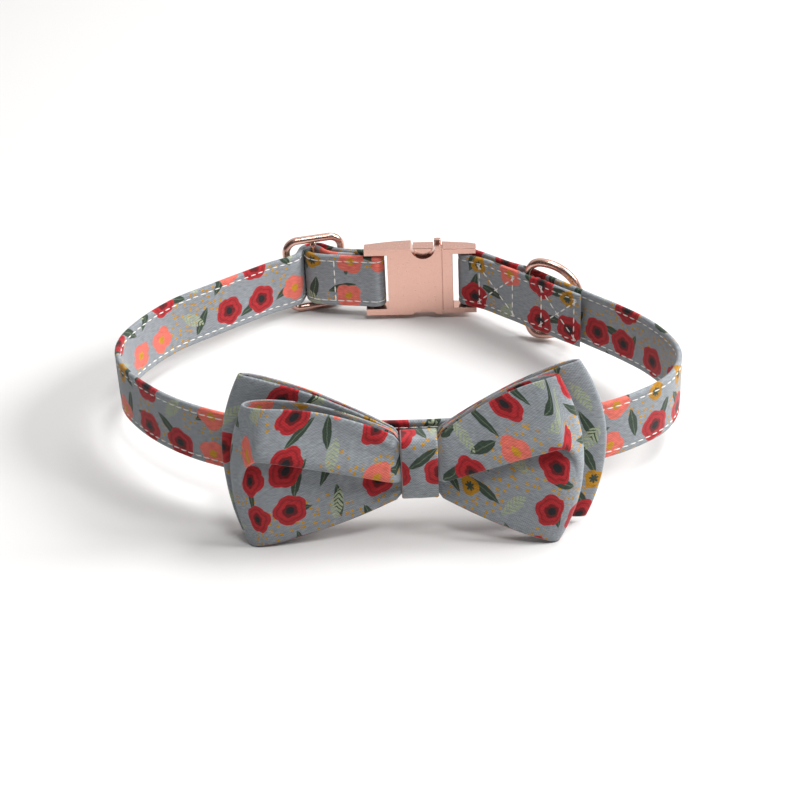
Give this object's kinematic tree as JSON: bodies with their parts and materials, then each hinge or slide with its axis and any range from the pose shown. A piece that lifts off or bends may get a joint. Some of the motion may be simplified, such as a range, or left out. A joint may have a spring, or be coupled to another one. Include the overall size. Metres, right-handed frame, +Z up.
{
  "type": "pet bow tie collar",
  "caption": "Fabric-wrapped pet collar with a side-release metal buckle, a strap slider, a swivelling leash ring and a layered bow tie fixed across the front of the loop",
  "frame": {"origin": "on the surface that the collar lies on, under the middle of its bounding box", "axes": "+X to the right as seen from the bow, along the longest side; +Y from the bow towards the buckle; +Z up"},
  "size_m": [0.18, 0.1406, 0.052],
  "materials": {
    "printed_cloth": "matt woven cotton with a floral print",
    "rose_gold_metal": "satin rose gold plating on cast and wire metal"
  },
  "bodies": {
    "collar": {"collar_strap": "printed_cloth", "slider": "rose_gold_metal", "buckle_housing": "rose_gold_metal", "buckle_insert": "rose_gold_metal", "bow_back": "printed_cloth", "bow_front": "printed_cloth", "bow_band": "printed_cloth", "bow_pad": "printed_cloth"},
    "leash_ring": {"d_ring": "rose_gold_metal"}
  },
  "joints": [
    {"name": "leash_ring_swivel", "type": "hinge", "parent": "collar", "child": "leash_ring", "pos_m": [0.04673, 0.03992, 0.01593], "axis": [0, 0.0879, 0.9961], "range_deg": [-10, 130]}
  ]
}
